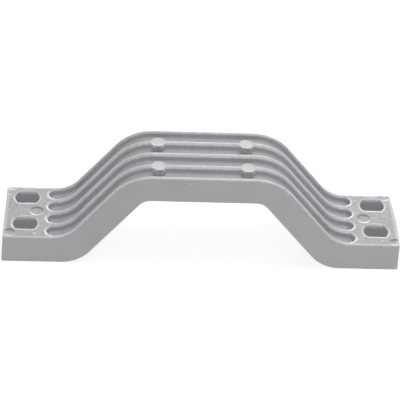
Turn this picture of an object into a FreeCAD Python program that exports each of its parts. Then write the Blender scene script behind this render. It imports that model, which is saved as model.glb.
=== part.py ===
"""A one-piece cast bar anode: two flat bolted feet, two sloping legs and a raised bridge.

The bar is a hat-shaped strip. Its whole upper face, from foot to foot, carries four
grooves with bevelled floors, and five ridges between and beside them. Each foot has two
bolt slots with straight sides and round ends. Four short studs stand on the bridge.

Millimetres. The origin is on the plane that the feet rest on, at the middle of the bar.
X runs along the bar, Y across it from front to back, and Z up. The right half is
modelled, and mirrored at the end.
"""

import FreeCAD, Part
import math
import os
import Sketcher
from FreeCAD import Vector

NODE = "anode_casting"

# Driving dimensions, in millimetres and degrees.
SIZES = {
    # Side profile of the bar
    "overall_length": 212.8,
    "pad_length": 34.6,
    "pad_thickness": 16.0,
    "leg_angle": 50.5,
    "leg_thickness": 15.1,
    "bridge_height": 56.0,
    "bridge_thickness": 14.0,
    "end_draft": 5.0,
    "side_draft": 0.5,
    # Rounding of the bends, seen from the side
    "foot_bend": 16.5,
    "shoulder_bend": 26.5,
    "heel_bend": 20.0,
    "armpit_bend": 11.0,
    # Grooves and ridges of the upper face
    "groove_width": 7.2,
    "groove_depth": 3.9,
    "groove_floor_bevel": 1.2,
    "ridge_width": 3.7,
    "edge_ridge_width": 2.5,
    "groove_run_out": 0.2,
    "rim_bevel": 0.6,
    # Bolt slots in the feet
    "slot_length": 12.8,
    "slot_width": 9.0,
    "slot_spacing": 23.4,
    "slot_offset": 1.5,
    "slot_rim_bevel": 0.6,
    # Shallow round marks of the ejector pins on the feet
    "mark_diameter": 7.0,
    "mark_depth": 0.35,
    "mark_from_groove": 5.2,
    "mark_offset": 1.0,
    "corner_mark_from_end": 3.4,
    "corner_mark_from_side": 2.7,
    # Studs on the bridge, one pair of ridges each side of the middle one
    "stud_spacing": 46.6,
    "stud_head_diameter": 7.8,
    "stud_head_thickness": 0.7,
    "stud_height": 0.3,
    "stud_neck_width": 7.4,
    "stud_neck_round": 2.0,
    # Finish of the outer edges
    "corner_round": 1.0,
    "top_edge_round": 0.75,
    "bottom_edge_bevel": 0.4,
}
GROOVE_COUNT = 4

# Allowances of the tool shapes, which leave no trace on the finished bar: how far cuts
# reach past the bar, and how deep a stud is rooted below the groove floors. NEAR is the
# tolerance for finding edges.
TRIM = 1.0
STUD_ROOT = 1.0
NEAR = 0.001

doc = FreeCAD.newDocument("bar_anode")
sheet = doc.addObject("Spreadsheet::Sheet", "sizes")
for row, (alias, value) in enumerate(SIZES.items(), start=1):
    sheet.set(f"A{row}", alias)
    sheet.set(f"B{row}", str(value))
    sheet.setAlias(f"B{row}", alias)
doc.recompute()


def size(alias):
    """A driving dimension as the sheet holds it."""
    return float(sheet.get(alias))


# Corners of the side profile, before the bends are rounded.
leg_slope = math.radians(size("leg_angle"))
pad_top = size("pad_thickness")
bridge_top = size("bridge_height")
bridge_under = bridge_top - size("bridge_thickness")
end_x = size("overall_length") / 2
end_top_x = end_x - pad_top * math.tan(math.radians(size("end_draft")))
knee_x = end_x - size("pad_length")
shoulder_x = knee_x - (bridge_top - pad_top) / math.tan(leg_slope)
heel_x = knee_x + pad_top / math.tan(leg_slope) - size("leg_thickness") / math.sin(leg_slope)
armpit_x = heel_x - bridge_under / math.tan(leg_slope)

# Places on the upper face, and the formulas that keep the model's own features there.
groove_pitch = size("groove_width") + size("ridge_width")
groove_end_x = knee_x + size("foot_bend") * math.tan(leg_slope / 2) + size("groove_run_out")
groove_rim_x = groove_end_x + size("groove_width") / 2
mark_x = groove_rim_x + size("mark_from_groove")
top_half_width = 2 * groove_pitch - size("ridge_width") / 2 + size("edge_ridge_width")
side_lean = math.tan(math.radians(size("side_draft")))
base_half_width = top_half_width + bridge_top * side_lean
pad_half_width = top_half_width + (bridge_top - pad_top) * side_lean

PITCH = "(sizes.groove_width + sizes.ridge_width)"
FIRST_GROOVE = f"({(GROOVE_COUNT - 1) / 2} * {PITCH})"
TOP_WIDTH = f"({GROOVE_COUNT} * {PITCH} - sizes.ridge_width + 2 * sizes.edge_ridge_width)"
KNEE = "(sizes.overall_length / 2 - sizes.pad_length)"
GROOVE_END = f"({KNEE} + sizes.foot_bend * tan(sizes.leg_angle / 2) + sizes.groove_run_out)"
GROOVE_RIM = f"({GROOVE_END} + sizes.groove_width / 2)"
END_TOP = "(sizes.overall_length / 2 - sizes.pad_thickness * tan(sizes.end_draft))"
MARK_X = f"({GROOVE_RIM} + sizes.mark_from_groove)"
SLOT_X = f"(({GROOVE_RIM} + {END_TOP}) / 2)"
BASE_HALF_WIDTH = f"({TOP_WIDTH} / 2 + sizes.bridge_height * tan(sizes.side_draft))"
PAD_HALF_WIDTH = f"({BASE_HALF_WIDTH} - sizes.pad_thickness * tan(sizes.side_draft))"

body = doc.addObject("PartDesign::Body", NODE)
body.Label = NODE


def origin_item(role):
    """The body's own origin plane or axis of that role."""
    return next(item for item in body.Origin.OriginFeatures if item.Role == role)


def new_sketch(name, plane, offset=(0, 0, 0)):
    """A sketch on an origin plane, moved by expressions for its three offsets."""
    sketch = body.newObject("Sketcher::SketchObject", name)
    sketch.AttachmentSupport = (origin_item(plane), [""])
    sketch.MapMode = "FlatFace"
    for axis, expression in zip("xyz", offset):
        if expression:
            sketch.setExpression(f"AttachmentOffset.Base.{axis}", expression)
    return sketch


def rule(sketch, *terms):
    """Adds a geometric constraint and returns its number."""
    return sketch.addConstraint(Sketcher.Constraint(*terms))


def dimension(sketch, name, expression, *terms):
    """Adds a named dimension that is bound to a formula of the sheet's values."""
    number = rule(sketch, *terms)
    sketch.renameConstraint(number, name)
    sketch.setExpression(f"Constraints.{name}", expression)


def line(sketch, start, end, construction=False):
    """A straight line between two points, as (x, y) pairs."""
    return sketch.addGeometry(Part.LineSegment(Vector(*start, 0), Vector(*end, 0)), construction)


def bend(before, corner, after, radius):
    """Tangent points, centre and turning sense of an arc that rounds a corner."""
    corner = Vector(*corner, 0)
    back = (Vector(*before, 0) - corner).normalize()
    ahead = (Vector(*after, 0) - corner).normalize()
    half = back.getAngle(ahead) / 2
    reach = radius / math.tan(half)
    centre = corner + (back + ahead).normalize() * (radius / math.sin(half))
    left_turn = back.cross(ahead).z < 0
    return corner + back * reach, corner + ahead * reach, centre, left_turn


def rounded_run(sketch, corners, closed):
    """Draws lines through corners (x, y, radius), an arc at each corner with a radius.

    Returns the numbers of the lines and arcs, in order, with None for a sharp corner.
    """
    count = len(corners)
    ends = []
    arcs = []
    for i, (x, y, radius) in enumerate(corners):
        if radius is None:
            ends.append((Vector(x, y, 0), Vector(x, y, 0)))
            arcs.append(None)
            continue
        before = corners[i - 1][:2]
        after = corners[(i + 1) % count][:2]
        entry, leave, centre, left_turn = bend(before, (x, y), after, radius)
        first, last = (entry, leave) if left_turn else (leave, entry)
        start_angle = math.atan2(first.y - centre.y, first.x - centre.x)
        end_angle = math.atan2(last.y - centre.y, last.x - centre.x)
        circle = Part.Circle(centre, Vector(0, 0, 1), radius)
        number = sketch.addGeometry(Part.ArcOfCircle(circle, start_angle, end_angle), False)
        ends.append((entry, leave))
        arcs.append((number, left_turn))
    lines = []
    for i in range(count if closed else count - 1):
        start = ends[i][1]
        end = ends[(i + 1) % count][0]
        lines.append(line(sketch, (start.x, start.y), (end.x, end.y)))
    for i, arc in enumerate(arcs):
        if not closed and i in (0, count - 1):
            continue
        if arc is None:
            rule(sketch, "Coincident", lines[i - 1], 2, lines[i], 1)
            continue
        number, left_turn = arc
        rule(sketch, "Tangent", lines[i - 1], 2, number, 1 if left_turn else 2)
        rule(sketch, "Tangent", number, 2 if left_turn else 1, lines[i], 1)
    return lines, [arc[0] if arc else None for arc in arcs]


def upper_line_rules(sketch, bridge, shoulder, leg, foot, pad):
    """Holds the upper side of the profile: bridge, leg and pad, with their two bends."""
    knee = sketch.addGeometry(Part.Point(Vector(knee_x, pad_top, 0)), True)
    rule(sketch, "Horizontal", bridge)
    rule(sketch, "Horizontal", pad)
    rule(sketch, "PointOnObject", knee, 1, leg)
    rule(sketch, "PointOnObject", knee, 1, pad)
    dimension(sketch, "knee_place", KNEE, "DistanceX", -1, 1, knee, 1, knee_x)
    dimension(sketch, "pad_top", "sizes.pad_thickness", "DistanceY", -1, 1, knee, 1, pad_top)
    for alias, arc in (("shoulder_bend", shoulder), ("foot_bend", foot)):
        dimension(sketch, alias, f"sizes.{alias}", "Radius", arc, size(alias))


def draw_side_profile():
    """The right half of the bar seen from the front, as one closed outline."""
    sketch = new_sketch("side_profile", "XZ_Plane")
    corners = [
        (0, bridge_under, None),
        (armpit_x, bridge_under, size("armpit_bend")),
        (heel_x, 0, size("heel_bend")),
        (end_x, 0, None),
        (end_top_x, pad_top, None),
        (knee_x, pad_top, size("foot_bend")),
        (shoulder_x, bridge_top, size("shoulder_bend")),
        (0, bridge_top, None),
    ]
    lines, arcs = rounded_run(sketch, corners, closed=True)
    under, inner_leg, sole, end, pad, outer_leg, bridge, middle = lines
    rule(sketch, "PointOnObject", middle, 1, -2)
    rule(sketch, "Vertical", middle)
    rule(sketch, "Horizontal", under)
    rule(sketch, "Horizontal", sole)
    rule(sketch, "PointOnObject", sole, 2, -1)
    rule(sketch, "Parallel", inner_leg, outer_leg)
    upper_line_rules(sketch, bridge, arcs[6], outer_leg, arcs[5], pad)
    dimension(sketch, "half_length", "sizes.overall_length / 2", "DistanceX", -1, 1, sole, 2, end_x)
    dimension(sketch, "top_reach", END_TOP, "DistanceX", -1, 1, pad, 1, end_top_x)
    dimension(sketch, "bridge_top", "sizes.bridge_height", "DistanceY", -1, 1, middle, 1, bridge_top)
    dimension(
        sketch, "bridge_thickness", "sizes.bridge_thickness",
        "DistanceY", middle, 2, middle, 1, size("bridge_thickness"),
    )
    dimension(sketch, "leg_angle", "sizes.leg_angle * 1 deg", "Angle", outer_leg, 2, pad, 2, leg_slope)
    dimension(
        sketch, "leg_thickness", "sizes.leg_thickness",
        "Distance", inner_leg, 1, outer_leg, size("leg_thickness"),
    )
    for alias, arc in (("armpit_bend", arcs[1]), ("heel_bend", arcs[2])):
        dimension(sketch, alias, f"sizes.{alias}", "Radius", arc, size(alias))
    return sketch


def feature(kind, name, profile=None):
    """A feature at the end of the body, with its sketch."""
    made = body.newObject(f"PartDesign::{kind}", name)
    if profile:
        made.Profile = profile
    return made


def edges_where(shape, test):
    """Names of the edges that pass a test."""
    return [f"Edge{i}" for i, edge in enumerate(shape.Edges, start=1) if test(edge)]


def points_along(edge):
    """Three points well inside an edge."""
    first, last = edge.ParameterRange
    return [edge.valueAt(first + (last - first) * share) for share in (0.2, 0.5, 0.8)]


def runs_across(edge):
    """True for an edge that runs straight from front to back, at one place along the bar."""
    points = points_along(edge)
    return all(abs(p.x - points[0].x) < NEAR and abs(p.z - points[0].z) < NEAR for p in points)


def on_line(edge, wire):
    """True where an edge, seen from the front, lies on a line of the side profile."""
    return all(wire.distToShape(Part.Vertex(p.x, 0, p.z))[0] < NEAR for p in points_along(edge))


def dress_edges(kind, name, measure, test):
    """Rounds or bevels the edges that pass a test, by a measure of the sheet."""
    doc.recompute()
    base = body.Tip
    names = edges_where(base.Shape, test)
    if not names:
        raise RuntimeError(f"{name} finds no edge")
    dressing = feature(kind, name)
    dressing.Base = (base, names)
    dressing.setExpression("Radius" if kind == "Fillet" else "Size", f"sizes.{measure}")


def check_volume(made, before, grows):
    """Stops if a feature leaves the solid as it was, or changes it the wrong way."""
    doc.recompute()
    change = made.Shape.Volume - before
    if change * (1 if grows else -1) <= NEAR:
        raise RuntimeError(f"{made.Name} changes the volume by {change:.3f}")


def draw_bar():
    """The plain bar: the side profile made solid, with its sides leaning in towards the top."""
    bar = feature("Pad", "bar", draw_side_profile())
    bar.SideType = "Symmetric"
    bar.setExpression("Length", f"2 * {BASE_HALF_WIDTH} + {2 * TRIM}")
    doc.recompute()

    # The end view of what is trimmed off each side, a wedge that is wider at the top.
    ends = new_sketch("side_lean_end_view", "YZ_Plane")
    outer = base_half_width + 2 * TRIM
    for name, side in (("front", -1), ("back", 1)):
        corners = [
            (side * base_half_width, 0, None),
            (side * outer, 0, None),
            (side * outer, bridge_top + TRIM, None),
            (side * (base_half_width - (bridge_top + TRIM) * side_lean), bridge_top + TRIM, None),
        ]
        floor, outside, roof, leaning = rounded_run(ends, corners, closed=True)[0]
        rule(ends, "Horizontal", floor)
        rule(ends, "Vertical", outside)
        rule(ends, "Horizontal", roof)
        rule(ends, "PointOnObject", floor, 1, -1)
        reaches = (
            ("half_width", 1, BASE_HALF_WIDTH, base_half_width),
            ("outside", 2, f"{BASE_HALF_WIDTH} + {2 * TRIM}", outer),
        )
        for label, point, formula, reach in reaches:
            near, far = ((-1, 1), (floor, point)) if side > 0 else ((floor, point), (-1, 1))
            dimension(ends, f"{name}_{label}", formula, "DistanceX", *near, *far, reach)
        dimension(
            ends, f"{name}_roof", f"sizes.bridge_height + {TRIM}",
            "DistanceY", outside, 1, outside, 2, bridge_top + TRIM,
        )
        near, far = ((leaning, 1), (leaning, 2)) if side > 0 else ((leaning, 2), (leaning, 1))
        dimension(
            ends, f"{name}_lean", f"(sizes.bridge_height + {TRIM}) * tan(sizes.side_draft)",
            "DistanceX", *near, *far, (bridge_top + TRIM) * side_lean,
        )
    trim = feature("Pocket", "side_lean", ends)
    trim.Type = "ThroughAll"
    trim.SideType = "Symmetric"
    check_volume(trim, bar.Shape.Volume, grows=False)


def draw_groove_path():
    """The upper line of the bar, from the middle of the bridge to the end of the grooves."""
    path = new_sketch("groove_path", "XZ_Plane")
    corners = [
        (0, bridge_top, None),
        (shoulder_x, bridge_top, size("shoulder_bend")),
        (knee_x, pad_top, size("foot_bend")),
        (groove_end_x, pad_top, None),
    ]
    lines, arcs = rounded_run(path, corners, closed=False)
    bridge, leg, pad = lines
    upper_line_rules(path, bridge, arcs[1], leg, arcs[2], pad)
    rule(path, "PointOnObject", bridge, 1, -2)
    dimension(path, "bridge_top", "sizes.bridge_height", "DistanceY", -1, 1, bridge, 1, bridge_top)
    dimension(path, "leg_angle", "sizes.leg_angle * 1 deg", "Angle", leg, 1, pad, 1, -leg_slope)
    run_out = size("groove_run_out")
    dimension(path, "run_out", "sizes.groove_run_out", "DistanceX", pad, 1, pad, 2, run_out)
    return path


def groove_rules(sketch, floor, slant, wall, top):
    """Holds the parts that the full and the half section of a groove have in common."""
    bevel = size("groove_floor_bevel")
    depth = size("groove_depth")
    half_width = size("groove_width") / 2
    rule(sketch, "Vertical", wall)
    dimension(sketch, "half_width", "sizes.groove_width / 2", "DistanceX", -1, 1, top, 1, half_width)
    dimension(sketch, "above", str(TRIM), "DistanceY", -1, 1, top, 1, TRIM)
    dimension(sketch, "depth", "sizes.groove_depth", "DistanceY", floor, 2, -1, 1, depth)
    dimension(sketch, "bevel_reach", "sizes.groove_floor_bevel", "DistanceX", slant, 1, slant, 2, bevel)
    dimension(sketch, "bevel_rise", "sizes.groove_floor_bevel", "DistanceY", slant, 1, slant, 2, bevel)


def cut_grooves():
    """Four grooves along the upper line, each with a round end on the foot."""
    path = draw_groove_path()
    half_width = size("groove_width") / 2
    depth = size("groove_depth")
    bevel = size("groove_floor_bevel")

    place = (f"-{FIRST_GROOVE}", "sizes.bridge_height", None)
    section = new_sketch("groove_section", "YZ_Plane", place)
    corners = [
        (-half_width, TRIM, None),
        (-half_width, bevel - depth, None),
        (bevel - half_width, -depth, None),
        (half_width - bevel, -depth, None),
        (half_width, bevel - depth, None),
        (half_width, TRIM, None),
    ]
    front_wall, front_slant, floor, back_slant, back_wall, top = rounded_run(section, corners, closed=True)[0]
    groove_rules(section, floor, back_slant, back_wall, top)
    rule(section, "Vertical", front_wall)
    rule(section, "Symmetric", top, 1, top, 2, -2)
    rule(section, "Symmetric", floor, 1, floor, 2, -2)
    rule(section, "Equal", front_slant, back_slant)
    before = body.Tip.Shape.Volume
    run = feature("SubtractivePipe", "groove_run", section)
    run.Spine = (path, ["Edge3", "Edge1", "Edge4", "Edge2", "Edge5"])
    check_volume(run, before, grows=False)

    place = (GROOVE_END, "sizes.pad_thickness", FIRST_GROOVE)
    half = new_sketch("groove_end_section", "XZ_Plane", place)
    corners = [
        (0, -depth, None),
        (half_width - bevel, -depth, None),
        (half_width, bevel - depth, None),
        (half_width, TRIM, None),
        (0, TRIM, None),
    ]
    floor, slant, wall, top, axis = rounded_run(half, corners, closed=True)[0]
    groove_rules(half, floor, slant, wall, top)
    rule(half, "Horizontal", floor)
    rule(half, "Horizontal", top)
    rule(half, "PointOnObject", axis, 1, -2)
    rule(half, "Vertical", axis)
    end = feature("Groove", "groove_end", half)
    end.ReferenceAxis = (half, ["V_Axis"])
    end.Midplane = True
    end.Angle = 180
    check_volume(end, run.Shape.Volume, grows=False)

    grooves = feature("LinearPattern", "grooves")
    grooves.Originals = [run, end]
    grooves.Direction = (origin_item("Y_Axis"), [""])
    grooves.Mode = "Extent"
    grooves.setExpression("Length", f"{GROOVE_COUNT - 1} * {PITCH}")
    grooves.Occurrences = GROOVE_COUNT
    body.Tip = grooves
    check_volume(grooves, end.Shape.Volume, grows=False)


def cut_slots():
    """Two bolt slots through the foot: a circle cut off by two straight sides."""
    place = (SLOT_X, "sizes.slot_offset - sizes.slot_spacing / 2", None)
    sketch = new_sketch("slot_outline", "XY_Plane", place)
    radius = size("slot_length") / 2
    half_width = size("slot_width") / 2
    reach = math.sqrt(radius ** 2 - half_width ** 2)
    turn = math.atan2(half_width, reach)
    circle = Part.Circle(Vector(0, 0, 0), Vector(0, 0, 1), radius)
    right = sketch.addGeometry(Part.ArcOfCircle(circle, -turn, turn), False)
    left = sketch.addGeometry(Part.ArcOfCircle(circle, math.pi - turn, math.pi + turn), False)
    back = line(sketch, (reach, half_width), (-reach, half_width))
    front = line(sketch, (-reach, -half_width), (reach, -half_width))
    rule(sketch, "Coincident", right, 2, back, 1)
    rule(sketch, "Coincident", back, 2, left, 1)
    rule(sketch, "Coincident", left, 2, front, 1)
    rule(sketch, "Coincident", front, 2, right, 1)
    rule(sketch, "Coincident", right, 3, -1, 1)
    rule(sketch, "Coincident", left, 3, -1, 1)
    rule(sketch, "Equal", right, left)
    rule(sketch, "Horizontal", back)
    rule(sketch, "Horizontal", front)
    rule(sketch, "Equal", back, front)
    dimension(sketch, "end_radius", "sizes.slot_length / 2", "Radius", right, radius)
    dimension(sketch, "half_width", "sizes.slot_width / 2", "DistanceY", -1, 1, back, 1, half_width)
    before = body.Tip.Shape.Volume
    slot = feature("Pocket", "slot", sketch)
    slot.Type = "ThroughAll"
    slot.SideType = "Symmetric"
    check_volume(slot, before, grows=False)
    slots = feature("LinearPattern", "slots")
    slots.Originals = [slot]
    slots.Direction = (origin_item("Y_Axis"), [""])
    slots.Mode = "Extent"
    slots.setExpression("Length", "sizes.slot_spacing")
    slots.Occurrences = 2
    body.Tip = slots
    check_volume(slots, slot.Shape.Volume, grows=False)


def profile_wire(corners):
    """A line of the side profile as a wire, to tell which edges lie on it."""
    edges = []
    first_x, first_z, _ = corners[0]
    start = Vector(first_x, 0, first_z)
    for before, (x, z, radius), after in zip(corners, corners[1:], corners[2:]):
        entry, leave, centre, _ = bend(before[:2], (x, z), after[:2], radius)
        middle = centre + ((entry + leave) / 2 - centre).normalize() * radius
        entry, middle, leave = [Vector(p.x, 0, p.y) for p in (entry, middle, leave)]
        edges.append(Part.LineSegment(start, entry).toShape())
        edges.append(Part.Arc(entry, middle, leave).toShape())
        start = leave
    last_x, last_z, _ = corners[-1]
    edges.append(Part.LineSegment(start, Vector(last_x, 0, last_z)).toShape())
    return Part.Wire(edges)


def dress_all_edges():
    """Rounds the foot's corners and the upper outer edges, and bevels the rims and the lower edges."""
    upper = profile_wire([
        (0, bridge_top, None),
        (shoulder_x, bridge_top, size("shoulder_bend")),
        (knee_x, pad_top, size("foot_bend")),
        (end_top_x, pad_top, None),
    ])
    lower = profile_wire([
        (0, bridge_under, None),
        (armpit_x, bridge_under, size("armpit_bend")),
        (heel_x, 0, size("heel_bend")),
        (end_x, 0, None),
    ])

    def half_width_at(z):
        return base_half_width - z * side_lean

    def on_side(edge):
        return all(abs(abs(p.y) - half_width_at(p.z)) < NEAR for p in points_along(edge))

    def at_end(edge, x):
        return runs_across(edge) and abs(points_along(edge)[0].x - x) < NEAR

    def on_foot(edge):
        return all(p.x > groove_rim_x + NEAR for p in points_along(edge))

    def at_corner(edge):
        nearest_x = end_top_x - size("corner_round") - NEAR
        nearest_y = pad_half_width - size("corner_round") - NEAR
        return all(p.x > nearest_x and abs(p.y) > nearest_y for p in points_along(edge))

    def is_groove_rim(edge):
        inside = not on_side(edge) and not runs_across(edge)
        return inside and on_line(edge, upper) and not on_foot(edge)

    def is_slot_rim(edge):
        inside = not on_side(edge) and not at_end(edge, end_top_x)
        return inside and on_line(edge, upper) and on_foot(edge)

    def is_top_edge(edge):
        outer = on_side(edge) or at_end(edge, end_top_x) or at_corner(edge)
        return outer and on_line(edge, upper)

    def is_corner(edge):
        return on_side(edge) and all(p.x > end_top_x - NEAR for p in points_along(edge))

    def is_bottom_edge(edge):
        return on_line(edge, lower) and (on_side(edge) or at_end(edge, end_x) or at_corner(edge))

    dress_edges("Chamfer", "groove_rims", "rim_bevel", is_groove_rim)
    dress_edges("Chamfer", "slot_rims", "slot_rim_bevel", is_slot_rim)
    dress_edges("Fillet", "foot_corners", "corner_round", is_corner)
    dress_edges("Fillet", "top_edges", "top_edge_round", is_top_edge)
    dress_edges("Chamfer", "bottom_edges", "bottom_edge_bevel", is_bottom_edge)
    doc.recompute()


def cut_marks():
    """Shallow round marks on the foot: one behind the grooves, one at each outer corner."""
    sketch = new_sketch("mark_outline", "XY_Plane", (None, None, "sizes.pad_thickness"))
    corner_x = end_x - size("corner_mark_from_end")
    corner_y = pad_half_width - size("corner_mark_from_side")
    offset = size("mark_offset")
    radius = size("mark_diameter") / 2
    along = "sizes.overall_length / 2 - sizes.corner_mark_from_end"
    across = f"({PAD_HALF_WIDTH} - sizes.corner_mark_from_side)"
    marks = [
        ("middle", MARK_X, mark_x, "sizes.mark_offset", offset),
        ("back", along, corner_x, f"{across} + sizes.mark_offset", corner_y + offset),
        ("front", along, corner_x, f"{across} - sizes.mark_offset", offset - corner_y),
    ]
    for name, x_formula, x, y_formula, y in marks:
        outline = Part.Circle(Vector(x, y, 0), Vector(0, 0, 1), radius)
        circle = sketch.addGeometry(outline, False)
        near, far = ((-1, 1), (circle, 3)) if y > 0 else ((circle, 3), (-1, 1))
        dimension(sketch, f"{name}_x", x_formula, "DistanceX", -1, 1, circle, 3, x)
        dimension(sketch, f"{name}_y", y_formula, "DistanceY", *near, *far, abs(y))
        dimension(sketch, f"{name}_radius", "sizes.mark_diameter / 2", "Radius", circle, radius)
    before = body.Tip.Shape.Volume
    marks = feature("Pocket", "marks", sketch)
    marks.setExpression("Length", "sizes.mark_depth")
    check_volume(marks, before, grows=False)


def add_studs():
    """Studs on the second and fourth ridge: a round head on a square neck with rounded corners."""
    head_top = "sizes.bridge_height + sizes.stud_height"
    place = ["sizes.stud_spacing / 2", f"-{PITCH}", f"{head_top} - sizes.stud_head_thickness"]
    half_width = size("stud_neck_width") / 2
    neck_round = size("stud_neck_round")
    outline = new_sketch("stud_neck_outline", "XY_Plane", place)
    corners = [
        (-half_width, -half_width, neck_round),
        (half_width, -half_width, neck_round),
        (half_width, half_width, neck_round),
        (-half_width, half_width, neck_round),
    ]
    lines, arcs = rounded_run(outline, corners, closed=True)
    front, right, back, left = lines
    for along in (front, back):
        rule(outline, "Horizontal", along)
    for across in (right, left):
        rule(outline, "Vertical", across)
    for arc in arcs[1:]:
        rule(outline, "Equal", arcs[0], arc)
    rule(outline, "Symmetric", front, 1, back, 1, -1, 1)
    rule(outline, "Equal", front, right)
    dimension(outline, "half_width", "sizes.stud_neck_width / 2", "DistanceX", -1, 1, right, 1, half_width)
    dimension(outline, "corner_round", "sizes.stud_neck_round", "Radius", arcs[0], neck_round)
    before = body.Tip.Shape.Volume
    neck = feature("Pad", "stud_neck", outline)
    neck.Reversed = True
    root = f"sizes.groove_depth + {STUD_ROOT} + sizes.stud_height - sizes.stud_head_thickness"
    neck.setExpression("Length", root)
    check_volume(neck, before, grows=True)

    outline = new_sketch("stud_head_outline", "XY_Plane", place)
    radius = size("stud_head_diameter") / 2
    circle = outline.addGeometry(Part.Circle(Vector(0, 0, 0), Vector(0, 0, 1), radius), False)
    rule(outline, "Coincident", circle, 3, -1, 1)
    dimension(outline, "radius", "sizes.stud_head_diameter / 2", "Radius", circle, radius)
    head = feature("Pad", "stud_head", outline)
    head.setExpression("Length", "sizes.stud_head_thickness")
    check_volume(head, neck.Shape.Volume, grows=True)

    studs = feature("Mirrored", "studs")
    studs.Originals = [neck, head]
    studs.MirrorPlane = (origin_item("XZ_Plane"), [""])
    body.Tip = studs
    check_volume(studs, head.Shape.Volume, grows=True)


def mirror_half():
    """The left half, as the mirror image of the right one."""
    before = body.Tip.Shape.Volume
    whole = feature("Mirrored", "whole_bar")
    whole.TransformMode = "Whole shape"
    whole.MirrorPlane = (origin_item("YZ_Plane"), [""])
    body.Tip = whole
    check_volume(whole, before, grows=True)


draw_bar()
cut_grooves()
cut_slots()
dress_all_edges()
cut_marks()
add_studs()
mirror_half()
doc.recompute()

# Every feature is checked before anything is written.
for item in doc.Objects:
    if "Invalid" in item.State or "Error" in item.State:
        raise RuntimeError(f"{item.Name} failed: {item.State}")
    if item.TypeId == "Sketcher::SketchObject" and not item.FullyConstrained:
        raise RuntimeError(f"{item.Name} is not fully constrained")
shape = body.Shape
if shape.isNull() or not shape.isValid() or len(shape.Solids) != 1:
    raise RuntimeError("the casting is not one valid solid")
os.makedirs("parts", exist_ok=True)
shape.exportStep(f"parts/{NODE}.step")
print(f"{NODE}: {shape.Volume / 1000:.2f} cubic centimetres, {len(shape.Faces)} faces")
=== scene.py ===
"""Looks of a one-piece cast bar anode, dressed over its CAD frame.

The casting's skin is drawn flat, as if it were unrolled, and a node tree bends it along
the bar's upper and lower lines, seats the studs and gives it the uneven skin of a casting.
The front of the bar is at -Y and its back at +Y. Lengths are in millimetres until the skin
is bent, and in metres after that.
"""

import math

import bpy
import numpy as np
from mathutils import Matrix, Vector
from mathutils.geometry import delaunay_2d_cdt


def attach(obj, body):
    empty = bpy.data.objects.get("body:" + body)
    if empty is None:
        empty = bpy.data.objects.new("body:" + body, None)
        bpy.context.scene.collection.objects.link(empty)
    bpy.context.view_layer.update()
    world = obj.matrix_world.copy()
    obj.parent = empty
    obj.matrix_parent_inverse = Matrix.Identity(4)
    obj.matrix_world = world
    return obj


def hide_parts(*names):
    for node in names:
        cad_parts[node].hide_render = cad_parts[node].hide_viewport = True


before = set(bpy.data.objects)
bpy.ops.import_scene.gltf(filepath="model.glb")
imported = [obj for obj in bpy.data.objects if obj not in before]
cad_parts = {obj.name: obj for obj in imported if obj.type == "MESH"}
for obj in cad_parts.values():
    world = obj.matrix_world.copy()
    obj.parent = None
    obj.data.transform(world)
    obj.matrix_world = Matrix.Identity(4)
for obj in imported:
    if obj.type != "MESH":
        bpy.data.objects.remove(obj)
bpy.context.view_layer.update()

MM = 0.001

# Side view of the bar, from its middle to the right end: (x, z, bend) where a line turns.
# Both lines run on a little past the skin's end, so that a bowed end still lies on them.
PAD_TOP = 16.0
BRIDGE_TOP = 56.0
BRIDGE_UNDER = 41.4
BASE_END_X = 106.4
TOP_END_X = 105.0
UPPER_LINE = [
    (0.0, BRIDGE_TOP, 0.0),
    (38.827, BRIDGE_TOP, 26.5),
    (71.8, PAD_TOP, 16.5),
    (TOP_END_X, PAD_TOP, 0.0),
]
LOWER_LINE = [
    (0.0, BRIDGE_UNDER, 0.0),
    (31.293, BRIDGE_UNDER, 8.0),
    (65.419, 0.0, 20.0),
    (BASE_END_X, 0.0, 0.0),
]
LINE_SPARE = 3.0

# Section across the bar, and the roundings of its outer edges.
BASE_HALF_WIDTH = 22.94
SIDE_LEAN = math.tan(math.radians(0.5))
PAD_HALF_WIDTH = BASE_HALF_WIDTH - PAD_TOP * SIDE_LEAN
TOP_EDGE = 0.75
BASE_EDGE = 0.4

# Grooves. A rim is the round between a groove's wall and the ridge beside it. The grooves'
# ends are round about GROOVE_END_X, and the ridges along the bar's sides have their own start.
GROOVE_CENTRES = (-16.35, -5.45, 5.45, 16.35)
GROOVE_RADIUS = 3.6
GROOVE_DEPTH = 3.9
FLOOR_ROUND = 2.0
RIM_RADIUS = 0.8
RIM_REACH = GROOVE_RADIUS + RIM_RADIUS
GROOVE_END_X = 78.78
EDGE_RIDGE_START = GROOVE_CENTRES[-1] + RIM_REACH

# Ends of the bar: their corners' rounding, where the bow of their top begins, and how far
# it stands out, as (the most, where across the bar, the fall beside that per square
# millimetre).
CORNER = 1.0
BOW_START_X = 101.0
LEFT_BOW = (0.5, 0.0, 0.0)
RIGHT_BOW = (1.3, -8.0, 0.00165)

# Bolt slots: a circle with two straight sides. The rim is round, but bevelled at the back.
# The depths are those of the rings of points on the wall.
SLOT_CENTRES = ((94.19, -10.2), (94.19, 13.2))
SLOT_RADIUS = 6.4
SLOT_HALF_WIDTH = 4.5
SLOT_RIM = 0.7
SLOT_FOOT_RIM = 0.3
SLOT_BEVEL = 0.9
SLOT_BEVEL_FALL = 1.1
SLOT_DEPTHS = (1.25, 1.6, 3.0, 5.5, 8.5, 12.0, PAD_TOP - SLOT_FOOT_RIM)

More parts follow.
